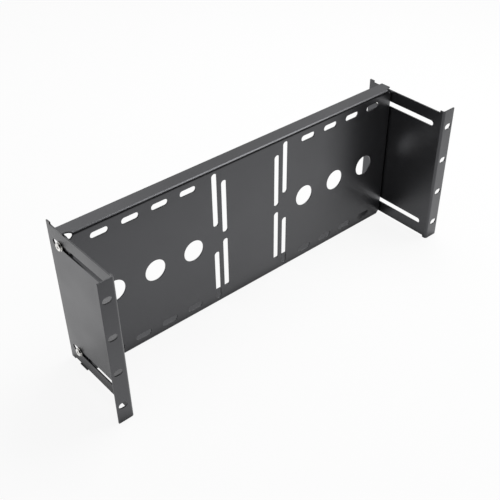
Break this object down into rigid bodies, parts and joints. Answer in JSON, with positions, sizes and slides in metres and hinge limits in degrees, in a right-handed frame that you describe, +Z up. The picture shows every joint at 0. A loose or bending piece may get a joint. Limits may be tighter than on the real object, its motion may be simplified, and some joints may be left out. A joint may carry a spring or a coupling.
{
  "type": "rack monitor mounting bracket",
  "caption": "Black folded-steel rack bracket: a perforated screen panel clamped between slotted side plates with rack ears, so that its depth in the rack can be set.",
  "frame": {"origin": "centre of the rack-hole pattern, on the rear faces of the ears, which lie on the rack's rails", "axes": "+X to the right across the rack seen from its front, +Y from the front of the rack to its back, +Z up"},
  "size_m": [0.48, 0.114, 0.177],
  "materials": {
    "powder_coat": "black powder coat, semi-gloss",
    "zinc_plate": "bright zinc plate",
    "black_oxide": "black oxide on steel, oiled"
  },
  "bodies": {
    "panel": {"monitor_panel": "powder_coat", "screw_left_bottom": "zinc_plate", "flat_washer_left_bottom": "zinc_plate", "lock_washer_left_bottom": "black_oxide", "nut_left_bottom": "black_oxide", "screw_left_top": "zinc_plate", "flat_washer_left_top": "zinc_plate", "lock_washer_left_top": "black_oxide", "nut_left_top": "black_oxide", "screw_right_bottom": "zinc_plate", "flat_washer_right_bottom": "zinc_plate", "lock_washer_right_bottom": "black_oxide", "nut_right_bottom": "black_oxide", "screw_right_top": "zinc_plate", "flat_washer_right_top": "zinc_plate", "lock_washer_right_top": "black_oxide", "nut_right_top": "black_oxide"},
    "left_bracket": {"left_bracket": "powder_coat"},
    "right_bracket": {"right_bracket": "powder_coat"}
  },
  "joints": [
    {"name": "left_depth", "type": "slide", "parent": "panel", "child": "left_bracket", "axis": [0, 1, 0], "range_m": [-0.01, 0.077]},
    {"name": "right_depth", "type": "slide", "parent": "panel", "child": "right_bracket", "axis": [0, 1, 0], "range_m": [-0.01, 0.077]}
  ],
  "couplings": [
    {"joint": "right_depth", "follows": "left_depth", "ratio": 1}
  ]
}
